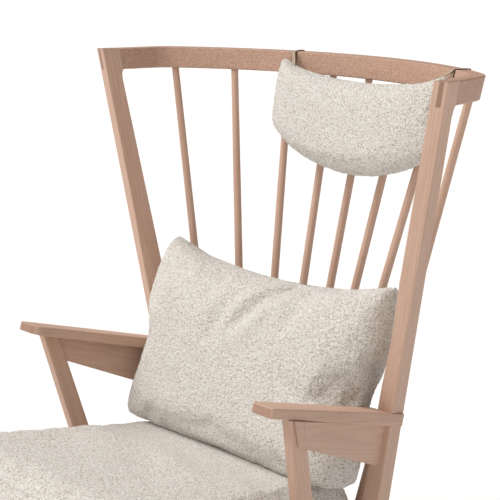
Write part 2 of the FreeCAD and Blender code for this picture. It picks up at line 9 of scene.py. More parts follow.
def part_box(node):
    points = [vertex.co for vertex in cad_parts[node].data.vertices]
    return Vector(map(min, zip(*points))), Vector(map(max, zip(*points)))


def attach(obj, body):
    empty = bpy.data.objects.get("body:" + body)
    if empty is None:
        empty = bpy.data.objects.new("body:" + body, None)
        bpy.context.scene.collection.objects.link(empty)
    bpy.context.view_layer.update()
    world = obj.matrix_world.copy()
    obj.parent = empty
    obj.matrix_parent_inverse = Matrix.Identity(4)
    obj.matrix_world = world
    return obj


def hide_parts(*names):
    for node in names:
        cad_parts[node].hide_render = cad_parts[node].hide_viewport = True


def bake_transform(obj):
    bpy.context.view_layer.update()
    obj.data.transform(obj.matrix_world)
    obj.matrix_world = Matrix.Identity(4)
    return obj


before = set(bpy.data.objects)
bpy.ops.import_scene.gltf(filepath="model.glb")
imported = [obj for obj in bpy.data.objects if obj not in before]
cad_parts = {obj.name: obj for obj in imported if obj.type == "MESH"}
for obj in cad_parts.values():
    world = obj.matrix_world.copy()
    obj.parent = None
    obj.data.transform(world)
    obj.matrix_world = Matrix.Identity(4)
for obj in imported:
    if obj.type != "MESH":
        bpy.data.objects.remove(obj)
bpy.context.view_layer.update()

# Metres, +X to the sitter's left, the chair faces -Y, +Z up, the floor at z = 0.
UP = Vector((0, 0, 1))
FRAME, SEAT, LUMBAR, NECK = "frame", "seat_cushion", "lumbar_cushion", "neck_pillow"
SEAT_SLOPE = math.radians(6)          # slope of the platform under the seat cushion
SEAT_TOE = math.tan(math.radians(12))   # the side rails open forward by this much per metre
LUMBAR_LEAN = math.radians(17)
NECK_TURN, NECK_LEAN = math.radians(-8), math.radians(9)


# ---- node graphs ------------------------------------------------------------
class Graph:
    """A material with one Principled shader and short calls for the nodes before it."""

    def __init__(self, name):
        self.material = bpy.data.materials.new(name)
        self.material.use_nodes = True
        self.tree = self.material.node_tree
        self.tree.nodes.clear()
        out = self.tree.nodes.new("ShaderNodeOutputMaterial")
        self.shader = self.tree.nodes.new("ShaderNodeBsdfPrincipled")
        self.tree.links.new(self.shader.outputs[0], out.inputs["Surface"])

    def add(self, kind, inputs=None, output=0, **settings):
        """One node. Inputs given as sockets are linked, other inputs are set."""
        node = self.tree.nodes.new("ShaderNode" + kind)
        for key, value in settings.items():
            setattr(node, key, value)
        for key, value in (inputs or {}).items():
            self.put(node.inputs[key], value)
        return node.outputs[output]

    def put(self, socket, value):
        if isinstance(value, bpy.types.NodeSocket):
            self.tree.links.new(value, socket)
        else:
            socket.default_value = value

    def math(self, operation, a, b=0.0, clamp=False):
        return self.add("Math", {0: a, 1: b}, operation=operation, use_clamp=clamp)

    def vector(self, operation, a, b=(0, 0, 0), output=0):
        return self.add("VectorMath", {0: a, 1: b}, output=output, operation=operation)

    def scaled(self, value, factor):
        return self.add("VectorMath", {0: value, "Scale": factor}, operation="SCALE")

    def noise(self, at, scale, detail=2.0, rough=0.5, distortion=0.0, output=0):
        inputs = {"Vector": at, "Scale": scale, "Detail": detail, "Roughness": rough,
                  "Distortion": distortion}
        return self.add("TexNoise", inputs, output=output)

    def cells(self, at, scale, feature="F1", randomness=1.0, output="Distance"):
        node = self.tree.nodes.new("ShaderNodeTexVoronoi")
        node.feature = feature
        self.put(node.inputs["Vector"], at)
        self.put(node.inputs["Scale"], scale)
        self.put(node.inputs["Randomness"], randomness)
        return node.outputs[output]

    def span(self, value, low, high, to_low=0.0, to_high=1.0):
        """A value between two limits, brought to another range and held there."""
        inputs = {"Value": value, "From Min": low, "From Max": high, "To Min": to_low, "To Max": to_high}
        return self.add("MapRange", inputs, clamp=True)

    def mix(self, share, a, b, blend="MIX"):
        node = self.tree.nodes.new("ShaderNodeMix")
        node.data_type = "RGBA"
        node.blend_type = blend
        for socket, value in ((node.inputs[0], share), (node.inputs[6], a), (node.inputs[7], b)):
            self.put(socket, value)
        return node.outputs[2]

    def bump(self, height, distance, strength=1.0, normal=None):
        inputs = {"Height": height, "Distance": distance, "Strength": strength}
        if normal is not None:
            inputs["Normal"] = normal
        return self.add("Bump", inputs)

    def finish(self, **inputs):
        for key, value in inputs.items():
            self.put(self.shader.inputs[key.replace("_", " ")], value)
        return self.material


def colour(red, green, blue):
    """Linear colour, with alpha, from 0-255 screen values."""
    return tuple(((v / 255 + 0.055) / 1.055) ** 2.4 for v in (red, green, blue)) + (1.0,)


# ---- materials -----------------------------------------------------------------
BEECH_LIGHT, BEECH_MID, BEECH_DARK = colour(208, 179, 160), colour(198, 165, 145), colour(178, 141, 119)
BEECH_FLECK, BEECH_END = colour(128, 92, 74), colour(146, 114, 96)
PITH_AWAY = 0.045                     # from the middle of a straight piece to the heart of its rings
LOOP_SCALE, THREAD_SCALE = 470, 900   # boucle: cells per metre for the loops and for their threads


def seed_of(name):
    return sum(ord(c) * (i + 3) for i, c in enumerate(name)) % 97


def wood_shader(g, grain, end_share, seed, fleck, depth=0.05, fleck_scale=760):
    """Soap-finished beech. grain is a coordinate in metres with X along the grain."""
    at = g.vector("ADD", grain, Vector((seed * 0.37, seed * 0.11, seed * 0.05)))
    long = g.vector("MULTIPLY", grain, (0.05, 1, 1))
    wander = g.noise(g.vector("ADD", long, (seed, 0, 0)), 9, 2, output=1)
    bent = g.vector("ADD", long, g.scaled(wander, 0.035))
    rings = g.add("TexWave", {"Vector": bent, "Scale": 62.0, "Distortion": 2.5, "Detail": 2.0,
                              "Detail Scale": 1.5}, output=1, wave_type="RINGS", rings_direction="X")
    streak = g.noise(g.vector("MULTIPLY", at, (0.04, 1, 1)), 420, 3, 0.6)
    broad = g.noise(g.vector("MULTIPLY", at, (0.25, 1, 1)), 14, 2)
    dash = g.span(g.cells(g.vector("MULTIPLY", at, (0.30, 1, 1)), fleck_scale), 0.10, 0.36, 1.0, 0.0)
    patch = g.noise(at, 90, 2)
    dash = g.math("MULTIPLY", dash, g.span(patch, 0.36, 0.62, 0.2, 1.0))
    base = g.mix(g.span(streak, 0.34, 0.66), BEECH_MID, BEECH_LIGHT)
    base = g.mix(g.math("MULTIPLY", rings, 0.27), base, BEECH_DARK)
    base = g.mix(g.span(broad, 0.35, 0.70, 0.0, 0.35), base, BEECH_DARK)
    base = g.mix(depth, base, BEECH_DARK)
    speck = g.span(g.noise(g.vector("MULTIPLY", at, (0.35, 1, 1)), fleck_scale, 2, 0.7), 0.44, 0.62)
    base = g.mix(g.math("MULTIPLY", speck, depth), base, BEECH_FLECK)
    base = g.mix(g.math("MULTIPLY", dash, fleck), base, BEECH_FLECK)
    base = g.mix(end_share, base, BEECH_END)
    soft = g.add("Bevel", {"Radius": 0.0022}, samples=4)
    facing = g.vector("DOT_PRODUCT", soft, g.add("NewGeometry", output="Normal"), output="Value")
    edge = g.math("MULTIPLY", g.span(facing, 0.90, 0.995, 1.0, 0.0), g.span(patch, 0.35, 0.6, 0.3, 1.0))
    base = g.mix(g.math("MULTIPLY", edge, 0.35), base, BEECH_LIGHT)
    rough = g.math("ADD", g.span(streak, 0.3, 0.7, 0.48, 0.60), g.math("MULTIPLY", edge, -0.10))
    height = g.math("ADD", g.math("MULTIPLY", streak, 0.5), g.math("MULTIPLY", dash, -0.8))
    normal = g.bump(height, 0.00022, 0.5, soft)
    return g.finish(Base_Color=base, Roughness=rough, Normal=normal, Specular_IOR_Level=0.4)


def grain_direction(node):
    """Long direction of a CAD node, from the spread of its points."""
    points = np.array([v.co for v in node.data.vertices])
    spread = np.cov((points - points.mean(0)).T)
    longest = np.linalg.eigh(spread)[1][:, 2]
    return Vector(longest)


def straight_beech(node):
    """Beech with its grain along the piece."""
    g = Graph("beech_" + node.name)
    along = grain_direction(node)
    turn = along.rotation_difference(Vector((1, 0, 0))).to_euler()
    place = g.add("TexCoord", output="Object")
    low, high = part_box(node.name)
    pith = (low + high) / 2 + along.orthogonal().normalized() * PITH_AWAY
    place = g.vector("SUBTRACT", place, pith)
    grain = g.add("VectorRotate", {"Vector": place, "Rotation": turn}, rotation_type="EULER_XYZ")
    face = g.add("NewGeometry", output="Normal")
    end = g.math("ABSOLUTE", g.vector("DOT_PRODUCT", face, along, output="Value"))
    end_share = g.span(end, 0.75, 0.95, 0.0, 0.8)
    return wood_shader(g, grain, end_share, seed_of(node.name), fleck=0.22)


def bent_beech(node):
    """Beech with its grain round the bow of the back rail, flecked like a quartered board."""
    g = Graph("beech_" + node.name)
    low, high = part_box(node.name)
    chord, rise = high.x, high.y - low.y
    radius = (chord * chord + rise * rise) / (2 * rise)
    centre = Vector((0, high.y - radius, 0))
    place = g.vector("SUBTRACT", g.add("TexCoord", output="Object"), centre)
    split = g.add("SeparateXYZ", {0: place})
    x, y, z = split.node.outputs
    angle = g.math("ARCTAN2", y, x)
    reach = g.vector("LENGTH", g.vector("MULTIPLY", place, (1, 1, 0)), output="Value")
    grain = g.add("CombineXYZ", {0: g.math("MULTIPLY", angle, radius), 1: reach, 2: z})
    tangent = g.vector("NORMALIZE", g.vector("CROSS_PRODUCT", UP, g.vector("MULTIPLY", place, (1, 1, 0))))
    face = g.add("NewGeometry", output="Normal")
    end = g.math("ABSOLUTE", g.vector("DOT_PRODUCT", face, tangent, output="Value"))
    end_share = g.span(end, 0.90, 0.97, 0.0, 0.9)
    return wood_shader(g, grain, end_share, seed=41, fleck=0.60, depth=0.50, fleck_scale=620)


def boucle(name, seed):
    """Looped off-white boucle: curled loops of pale yarn, painted darker in the pits between the loops as
    shade and near white on the loop tops as highlight.
    """
    g = Graph(name)
    at = g.vector("ADD", g.add("TexCoord", output="Object"), (seed, seed * 0.3, 0))
    curl = g.vector("SUBTRACT", g.noise(at, 230, 2, output=1), (0.5, 0.5, 0.5))
    curled = g.vector("ADD", at, g.scaled(curl, 0.0045))
    slant = g.add("VectorRotate", {"Vector": curled, "Rotation": (0.5, 0.7, 0.4)}, rotation_type="EULER_XYZ")
    slant = g.vector("MULTIPLY", slant, (1.0, 0.66, 1.0))
    loops = g.cells(slant, LOOP_SCALE)
    fine = g.cells(curled, THREAD_SCALE)
    tall = g.math("SUBTRACT", 1.0, g.math("MULTIPLY", loops, 1.15), clamp=True)
    thread = g.math("SUBTRACT", 1.0, g.math("MULTIPLY", fine, 1.15), clamp=True)
    height = g.math("ADD", g.math("MULTIPLY", tall, 0.68), g.math("MULTIPLY", thread, 0.32))
    broad = g.noise(at, 7, 2)
    tuft = g.add("SeparateColor", {0: g.cells(slant, LOOP_SCALE, output="Color")})
    # painted shade: the low places between the loops are coloured darker
    base = g.mix(g.span(height, 0.14, 0.46), colour(176, 164, 148), colour(239, 236, 230))
    # painted highlight: the tallest loop tops are coloured near white
    base = g.mix(g.span(height, 0.60, 0.88, 0.0, 0.8), base, colour(252, 251, 249))
    base = g.mix(g.span(tuft, 0.70, 1.0, 0.0, 0.22), base, colour(222, 212, 197))
    base = g.mix(g.span(broad, 0.35, 0.7, 0.0, 0.10), base, colour(226, 220, 211))
    rough = g.span(height, 0.2, 0.9, 0.98, 0.82)
    normal = g.bump(height, 0.0030, 0.9)
    return g.finish(Base_Color=base, Roughness=rough, Normal=normal, Specular_IOR_Level=0.15,
                    Sheen_Weight=0.25, Sheen_Roughness=0.5)


def webbing(name, light, dark):
    """Narrow woven strap, ribbed across."""
    g = Graph(name)
    at = g.add("TexCoord", output="Object")
    rib = g.add("TexWave", {"Vector": at, "Scale": 420.0, "Distortion": 1.0, "Detail": 1.0}, output=1,
                wave_type="BANDS", bands_direction="DIAGONAL")
    fuzz = g.noise(at, 900, 2)
    base = g.mix(g.math("MULTIPLY", rib, 0.55), light, dark)
    base = g.mix(g.span(fuzz, 0.35, 0.7, 0.0, 0.4), base, dark)
    normal = g.bump(g.math("ADD", rib, g.math("MULTIPLY", fuzz, 0.5)), 0.0004, 0.8)
    rough = g.span(fuzz, 0.3, 0.7, 0.75, 0.92)
    return g.finish(Base_Color=base, Roughness=rough, Normal=normal, Sheen_Weight=0.2)


def felt():
    g = Graph("felt_glide")
    at = g.add("TexCoord", output="Object")
    fibre = g.noise(at, 1400, 3, 0.7, 1.0)
    blot = g.noise(at, 220, 2)
    base = g.mix(g.span(fibre, 0.3, 0.7), colour(74, 66, 58), colour(118, 106, 94))
    base = g.mix(g.span(blot, 0.4, 0.7, 0.0, 0.5), base, colour(60, 54, 48))
    return g.finish(Base_Color=base, Roughness=g.span(fibre, 0.3, 0.7, 0.85, 0.98),
                    Normal=g.bump(fibre, 0.0005, 0.9), Sheen_Weight=0.3)


def plated_steel():
    g = Graph("zinc_plated_bolt")
    at = g.add("TexCoord", output="Object")
    turned = g.noise(g.vector("MULTIPLY", at, (1, 14, 14)), 160, 2)
    bloom = g.noise(at, 260, 3)
    base = g.mix(g.span(bloom, 0.35, 0.7), colour(176, 178, 182), colour(202, 203, 205))
    return g.finish(Base_Color=base, Metallic=1.0, Roughness=g.span(bloom, 0.3, 0.7, 0.28, 0.46),
                    Normal=g.bump(turned, 0.0001, 0.5))


def foam(name):
    g = Graph(name)
    at = g.add("TexCoord", output="Object")
    pores = g.cells(at, 900)
    # painted shade: the foam is coloured darker in its pores than on the walls between them
    base = g.mix(g.span(pores, 0.1, 0.7), colour(206, 190, 150), colour(238, 226, 190))
    return g.finish(Base_Color=base, Roughness=g.span(pores, 0.0, 0.8, 0.98, 0.85),
                    Normal=g.bump(pores, 0.0008, 0.8))


def paint_cad_nodes():
    """Every CAD node that stays in view gets its finish."""
    felt_material, steel = felt(), plated_steel()
    for name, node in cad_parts.items():
        if "foam" in name or "cover" in name or name.startswith("strap_"):
            continue
        if "glide" in name:
            made = felt_material
        elif name.endswith("_bolts"):
            made = steel
        elif name == "back_rail":
            made = bent_beech(node)
        else:
            made = straight_beech(node)
        for s in node.material_slots:
            s.material = made


# ---- soft forms -----------------------------------------------------------------
def new_object(name, mesh, material):
    piece = bpy.data.objects.new(name, mesh)
    bpy.context.scene.collection.objects.link(piece)
    mesh.materials.append(material)
    return piece


def two_sheets(name, columns, rows, place, material):
    """Closed form of a front and a back sheet joined round their outline.

    place(u, v) gives the point midway between the sheets and the offset to the front sheet,
    for u and v from -1 to 1."""
    form = bmesh.new()
    front = {}
    back = {}
    for i in range(columns + 1):
        for j in range(rows + 1):
            middle, offset = place(2 * i / columns - 1, 2 * j / rows - 1)
            front[i, j] = form.verts.new(middle + offset)
            back[i, j] = form.verts.new(middle - offset)
    for i in range(columns):
        for j in range(rows):
            ring = [(i, j), (i + 1, j), (i + 1, j + 1), (i, j + 1)]
            form.faces.new([front[k] for k in ring])
            form.faces.new([back[k] for k in reversed(ring)])
    rim = [(i, 0) for i in range(columns)] + [(columns, j) for j in range(rows)]
    rim += [(i, rows) for i in range(columns, 0, -1)] + [(0, j) for j in range(rows, 0, -1)]
    for a, b in zip(rim, rim[1:] + rim[:1]):
        form.faces.new([front[a], back[a], back[b], front[b]])
    bmesh.ops.recalc_face_normals(form, faces=form.faces)
    mesh = bpy.data.meshes.new(name)
    form.to_mesh(mesh)
    form.free()
    return new_object(name, mesh, material)


def bake_modifiers(piece):
    """The piece's mesh as its modifiers make it, with no modifier left."""
    graph = bpy.context.evaluated_depsgraph_get()
    mesh = bpy.data.meshes.new_from_object(piece.evaluated_get(graph), depsgraph=graph)
    piece.modifiers.clear()
    old, piece.data = piece.data, mesh
    bpy.data.meshes.remove(old)


def points_of(piece):
    return np.array([v.co for v in piece.data.vertices], float).reshape(-1, 3)


def move_points(piece, points):
    piece.data.vertices.foreach_set("co", np.asarray(points, np.float32).ravel())
    piece.data.update()


def remesh(piece, voxel):
    modifier = piece.modifiers.new("Remesh", "REMESH")
    modifier.mode = "VOXEL"
    modifier.voxel_size = voxel
    modifier.use_smooth_shade = True
    bake_modifiers(piece)


def swell(piece, pressure, cap, frames=20):
    """Cloth simulation of a stuffed cover. No point moves further than cap."""
    start = points_of(piece)
    modifier = piece.modifiers.new("Cloth", "CLOTH")
    cloth = modifier.settings
    cloth.quality = 5
    cloth.mass = 0.3
    cloth.tension_stiffness = cloth.compression_stiffness = 15
    cloth.bending_stiffness = 0.8
    cloth.use_pressure = True
    cloth.uniform_pressure_force = pressure
    cloth.effector_weights.gravity = 0
    modifier.collision_settings.use_collision = False
    modifier.point_cache.frame_start = 1
    modifier.point_cache.frame_end = frames
    for step in range(1, frames + 1):
        bpy.context.scene.frame_set(step)
    graph = bpy.context.evaluated_depsgraph_get()
    moved = np.array([v.co for v in piece.evaluated_get(graph).data.vertices], float)
    piece.modifiers.clear()
    bpy.context.scene.frame_set(1)
    travel = moved - start
    length = np.linalg.norm(travel, axis=1, keepdims=True)
    move_points(piece, start + travel * np.minimum(1, cap / np.maximum(length, 1e-9)))


def subdivide(piece, levels=1):
    modifier = piece.modifiers.new("Subdivision", "SUBSURF")
    modifier.levels = modifier.render_levels = levels
    bake_modifiers(piece)
    for face in piece.data.polygons:
        face.use_smooth = True


def nap(piece, depth, scale, seed):
    """Uneven loops that break up the outline of a boucle cover."""
    normals = np.array([v.normal for v in piece.data.vertices], float).reshape(-1, 3)
    points = points_of(piece)
    rise = np.array([noise.noise(Vector(p) * scale + Vector((seed, 0, 0))) for p in points])
    move_points(piece, points + normals * (rise * depth)[:, None])


def stuffed(piece, voxel, pressure, cap):
    """Remesh, swell and refine a closed form into a stuffed cover."""
    remesh(piece, voxel)
    swell(piece, pressure, cap)
    subdivide(piece)


def profile(t, power, round_off):
    """Thickness share across a cushion: 1 in the middle, 0 at the edge."""
    return max(0.0, 1 - abs(t) ** power) ** round_off


class Plane:
    """A cushion's own axes: s across, h up, n out of the front."""

    def __init__(self, origin, across, up):
        self.origin, self.across, self.up = Vector(origin), Vector(across), Vector(up)
        self.front = self.across.cross(self.up)

    def point(self, s, h, n=0.0):
        return self.origin + self.across * s + self.up * h + self.front * n

    def local(self, points):
        """Rows of (s, h, n) for rows of points."""
        axes = np.array([self.across, self.up, self.front])
        return (np.asarray(points) - np.array(self.origin)) @ axes.T


def filling(name, cover, plane, share, material, body, node):
    """The cushion's filling: the cover's form drawn in towards the middle of its plane."""
    local = plane.local(points_of(cover)) * np.array(share)
    mesh = cover.data.copy()
    mesh.name = name
    mesh.materials.clear()
    piece = new_object(name, mesh, material)
    move_points(piece, [plane.point(*row) for row in local])
    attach(piece, body)
    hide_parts(node)
    return piece


# ---- seat cushion ---------------------------------------------------------------
SEAT_UP = np.array((0, math.sin(SEAT_SLOPE), math.cos(SEAT_SLOPE)))
SEAT_THICK = 0.104                    # of the CAD cushion
SEAT_MARGIN = 0.006                   # the form starts this much inside the CAD cushion, and swells
SEAM_LEVEL, SEAM_EASE = 0.62, 0.06    # of the two seams round the sides, as shares of the thickness
SEAM_DEPTH = 0.0022
LUMBAR_REST = (-0.10, 0.09)           # y where the lumbar cushion's flat rest begins, and its ease


def seat_levels():
    """Lowest and highest level of the CAD seat cushion, along the normal of its platform."""
    levels = points_of(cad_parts["seat_cover"]) @ SEAT_UP
    return levels.min(), levels.max()


def lift_above(piece, level):
    """Points lower than a level over the seat platform come up to it."""
    points = points_of(piece)
    low = np.maximum(level - points @ SEAT_UP, 0)
    move_points(piece, points + low[:, None] * SEAT_UP)


def flatten_under_lumbar(piece, level):
    """Points higher than a level come down to it where the lumbar cushion rests."""
    points = points_of(piece)
    share = np.clip((points[:, 1] - LUMBAR_REST[0]) / LUMBAR_REST[1], 0, 1)
    share = share * share * (3 - 2 * share)
    high = np.maximum(points @ SEAT_UP - level, 0) * share
    move_points(piece, points - high[:, None] * SEAT_UP)


def make_seat():
    """Crowned cushion, its sides pulled in between the corners, flat on its platform."""
    low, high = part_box("seat_cover")
    front_half = high.x
    run = (high.y - low.y) / math.cos(SEAT_SLOPE) - SEAT_THICK * math.tan(SEAT_SLOPE) * 0.5
    depth = run - 2 * SEAT_MARGIN
    rearward = Vector((0, math.cos(SEAT_SLOPE), -math.sin(SEAT_SLOPE)))
    heart = Vector((0, (low.y + high.y) / 2, (low.z + high.z) / 2))
    plane = Plane(heart, (1, 0, 0), rearward)
    half_thick = SEAT_THICK / 2 - 0.003
    rim, side_pull, end_pull = 0.006, 0.006, 0.005

    def place(u, v):
        y = v * depth / 2
        half = front_half - SEAT_MARGIN - (y + depth / 2) * SEAT_TOE
        half -= side_pull * (1 - v * v)
        y -= v * end_pull * (1 - u * u)
        share = profile(u, 9, 0.34) * profile(v, 9, 0.34)
        return plane.point(u * half, y), plane.front * (rim + (half_thick - rim) * share)

    cover = two_sheets("seat_cushion_cover", 56, 48, place, boucle("boucle_seat", 3))
    stuffed(cover, voxel=0.006, pressure=4.0, cap=0.012)
    local = plane.local(points_of(cover))
    s, h, n = local.T
    half = front_half - (h + depth / 2) * SEAT_TOE
    across, along = np.abs(s) / half, np.abs(h) / (depth / 2)
    edge = np.maximum(across, along)
    level = np.clip(n / half_thick, -1, 1)
    seam = np.exp(-((np.abs(level) - SEAM_LEVEL) / SEAM_EASE) ** 2) * (edge > 0.9)
    inward = -np.sign(np.stack([s * (across > along), h * (across <= along), n * 0], 1))
    local += inward * (seam * SEAM_DEPTH)[:, None]
    ripple = 0.0016 * np.sin(s * 31 + 4 * np.sin(h * 13)) * np.clip(1.2 - edge, 0, 1)
    local[:, 2] += ripple * (n > 0)
    move_points(cover, [plane.point(*row) for row in local])
    nap(cover, depth=0.0014, scale=240, seed=3)
    platform, top = seat_levels()
    lift_above(cover, platform + 0.0004)
    flatten_under_lumbar(cover, top - 0.0004)
    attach(cover, SEAT)
    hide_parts("seat_cover")
    filling("seat_cushion_filling", cover, plane, (0.95, 0.94, 0.74), foam("foam_seat"),
            SEAT, "seat_foam")


# ---- lumbar cushion --------------------------------------------------------------
ARM_CLEARANCE = 0.003                 # between the cushion's sides and the arm panels


def held(values, low, high, ease):
    """Values kept between two limits, slowing down over the last stretch before each."""
    over = np.maximum(values - (high - ease), 0)
    under = np.maximum(low + ease - values, 0)
    return values - over + ease * np.tanh(over / ease) + under - ease * np.tanh(under / ease)


def lumbar_plane():
    low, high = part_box("lumbar_cover")
    up = Vector((0, math.sin(LUMBAR_LEAN), math.cos(LUMBAR_LEAN)))
    return Plane(((low.x + high.x) / 2, (low.y + high.y) / 2, (low.z + high.z) / 2), (1, 0, 0), up)


def make_lumbar():
    """Knife-edge feather cushion: pointed corners, edges that sag between them, soft folds."""
    plane = lumbar_plane()
    half_h, half_w, half_t = 0.162, 0.252, 0.060
    forward = 0.009                   # its lower edge lies this much further forward than its top
    rim, top_sag, top_margin = 0.004, 0.025, 0.006
    widening, pressed = 0.014, 0.022  # above the arms, and into the seat before it is flattened

    def place(u, v):
        above_arms = min(1, max(0, (v + 0.15) / 0.5))
        side = half_w + widening * above_arms ** 2 * (3 - 2 * above_arms)
        top = half_h - top_margin - top_sag * (1 - abs(u) ** 1.8)
        bottom = -half_h - pressed
        h = bottom + (top - bottom) * (v + 1) / 2
        slump = 1.02 - 0.08 * v
        upright = profile(v, 3.0, 0.50) if v > 0 else profile(v, 7, 0.24)
        share = profile(u, 5.5, 0.27) * upright * slump
        return plane.point(u * side, h, forward * (1 - v) / 2), plane.front * (rim + half_t * share)

    cover = two_sheets("lumbar_cushion_cover", 60, 44, place, boucle("boucle_lumbar", 5))
    stuffed(cover, voxel=0.005, pressure=3.0, cap=0.010)
    local = plane.local(points_of(cover))
    s, h, n = local.T
    # Each fold: where it starts and ends across and up the front, how deep and how wide it is.
    folds = [((0.092, 0.130), (0.026, 0.074), 0.014, 0.012), ((0.034, 0.080), (-0.018, 0.010), 0.010, 0.013),
             ((-0.008, 0.090), (-0.064, -0.016), 0.006, 0.014), ((0.13, 0.10), (0.10, 0.03), 0.004, 0.012),
             ((-0.20, 0.10), (-0.12, 0.05), 0.004, 0.014), ((0.20, -0.06), (0.10, -0.02), 0.005, 0.014),
             ((-0.21, -0.09), (-0.10, -0.10), 0.004, 0.014)]
    for a, b, deep, wide in folds:
        a, b = np.array(a), np.array(b)
        along = b - a
        t = np.clip(((s - a[0]) * along[0] + (h - a[1]) * along[1]) / (along @ along), 0, 1)
        away = np.hypot(s - a[0] - t * along[0], h - a[1] - t * along[1])
        fade = np.sin(np.pi * np.clip(t * 0.8 + 0.15, 0, 1))
        local[:, 2] -= deep * fade * np.exp(-(away / wide) ** 2) * (n > 0)
        local[:, 2] += 0.35 * deep * fade * np.exp(-((away - 2.2 * wide) / wide) ** 2) * (n > 0)
    across, upward = np.abs(s) / half_w, np.abs(h) / half_h
    mid = forward * (1 - h / half_h) / 2
    seam = np.exp(-((n - mid) / 0.0035) ** 2)
    seam *= np.clip((np.maximum(across, upward) - 0.8) / 0.1, 0, 1)
    local[:, 0] -= np.sign(s) * SEAM_DEPTH * seam * (across > upward)
    local[:, 1] -= np.sign(h) * SEAM_DEPTH * seam * (np.abs(s) / half_w <= upward)
    back_limit, front_limit = -0.0605, 0.080
    local[:, 2] = held(local[:, 2], back_limit, front_limit, ease=0.010)
    panel_low, panel_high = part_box("arm_panel_right")
    depth = np.array([plane.point(*row).y for row in local])
    room = panel_low.x - ARM_CLEARANCE + (panel_high.y - depth) * SEAT_TOE
    narrow = held(local[:, 0], -room, room, ease=0.008)
    below_arms = np.clip((0.055 - local[:, 1]) / 0.03, 0, 1)
    local[:, 0] += (narrow - local[:, 0]) * below_arms
    move_points(cover, [plane.point(*row) for row in local])
    nap(cover, depth=0.0014, scale=240, seed=7)
    lift_above(cover, seat_levels()[1] + 0.0012)
    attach(cover, LUMBAR)
    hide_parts("lumbar_cover")
    filling("lumbar_cushion_filling", cover, plane, (0.88, 0.86, 0.72), foam("foam_lumbar"),
            LUMBAR, "lumbar_foam")


# ---- neck pillow ------------------------------------------------------------------
def neck_plane():
    low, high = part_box("neck_cover")
    across = Vector((math.cos(NECK_TURN), math.sin(NECK_TURN), 0))
    level = Vector((-math.sin(NECK_TURN), math.cos(NECK_TURN), 0))
    up = level * math.sin(NECK_LEAN) + UP * math.cos(NECK_LEAN)
    return Plane((low + high) / 2, across, up)


NECK_CORNER = (0.212, 0.095)        # top corner of the pillow, across and up from its middle
NECK_SIDE = (0.213, -0.018)         # lower end of its short side
NECK_DROP = -0.086                  # lowest point of its curved edge
NECK_WALL, NECK_WALL_BOW = -0.0445, 0.90   # its back stays before the bow of rail and spindles


def make_neck(plane):
    """Half-moon pillow: top edge sagging between the straps, short sides, round lower edge."""
    rim, plump, top_sag = 0.0035, 0.0235, 0.020

    def place(u, v):
        top = NECK_CORNER[1] - top_sag * (1 - abs(u) ** 2.0)
        low = NECK_SIDE[1] + (NECK_DROP - NECK_SIDE[1]) * (1 - abs(u) ** 2.1) ** 0.8
        rise = (v + 1) / 2
        half = NECK_SIDE[0] + (NECK_CORNER[0] - NECK_SIDE[0]) * rise - 0.004 * math.sin(math.pi * rise)
        share = profile(u, 4.0, 0.42) * profile(v, 3.0, 0.45)
        return plane.point(u * half, low + (top - low) * rise), plane.front * (rim + plump * share)

    cover = two_sheets("neck_pillow_cover", 56, 28, place, boucle("boucle_neck", 8))
    stuffed(cover, voxel=0.004, pressure=3.0, cap=0.005)
    nap(cover, depth=0.0013, scale=250, seed=11)
    local = plane.local(points_of(cover))
    wall = NECK_WALL + NECK_WALL_BOW * local[:, 0] ** 2
    local[:, 2] = held(local[:, 2], wall, high=1.0, ease=0.004)
    move_points(cover, [plane.point(*row) for row in local])
    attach(cover, NECK)
    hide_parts("neck_cover")
    filling("neck_pillow_filling", cover, plane, (0.88, 0.84, 0.70), foam("foam_neck"),
            NECK, "neck_foam")


# ---- straps -------------------------------------------------------------------------
STRAP_WIDTH, STRAP_THICK = 0.0092, 0.0011


def ribbon(name, path, sides, face, edge, closed=False):
    """Flat band along a path. sides gives the half-width direction at each point."""
    form = bmesh.new()
    count = len(path)
    rings = []
    for i, p in enumerate(path):
        ahead = path[(i + 1) % count] if closed or i + 1 < count else p
        behind = path[i - 1] if closed or i > 0 else p
        run = (ahead - behind).normalized()
        side = sides[i].normalized()
        out = side.cross(run).normalized()
        ring = []
        for a, b in ((-1, -0.5), (-0.8, -1), (0.8, -1), (1, -0.5), (1, 0.5), (0.8, 1), (-0.8, 1), (-1, 0.5)):
            ring.append(form.verts.new(p + side * (a * STRAP_WIDTH / 2) + out * (b * STRAP_THICK / 2)))
        rings.append(ring)
    last = count if closed else count - 1
    for i in range(last):
        a, b = rings[i], rings[(i + 1) % count]
        for k in range(8):
            made = form.faces.new([a[k], a[(k + 1) % 8], b[(k + 1) % 8], b[k]])
            made.material_index = 0 if k in (1, 5) else 1
            made.smooth = True
    if not closed:
        form.faces.new(list(reversed(rings[0])))
        form.faces.new(rings[-1])
    bmesh.ops.recalc_face_normals(form, faces=form.faces)
    mesh = bpy.data.meshes.new(name)
    form.to_mesh(mesh)
    form.free()
    piece = new_object(name, mesh, face)
    mesh.materials.append(edge)
    return piece


def smooth_line(points, steps):
    """Points along a Catmull-Rom curve through a short list of points."""
    line = []
    ends = [points[0] * 2 - points[1]] + list(points) + [points[-1] * 2 - points[-2]]
    for a, b, c, d in zip(ends, ends[1:], ends[2:], ends[3:]):
        for k in range(steps):
            t = k / steps
            line.append(0.5 * (2 * b + (c - a) * t + (2 * a - 5 * b + 4 * c - d) * t ** 2
                               + (3 * b - a - 3 * c + d) * t ** 3))
    return line + [points[-1]]


def loop_frame(node):
    """Middle, direction along the rail and outward direction of a strap's band round the rail."""
    points = np.array([v.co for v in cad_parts[node].data.vertices])
    middle = Vector(points.mean(0))
    top = points[points[:, 2] > points[:, 2].max() - 0.0003]
    flat = top[:, :2] - top[:, :2].mean(0)
    vectors = np.linalg.eigh(np.cov(flat.T))[1]
    out = Vector((vectors[0, 1], vectors[1, 1], 0))
    if out.y < 0:
        out = -out
    along = out.cross(UP)
    return middle, along, out, points


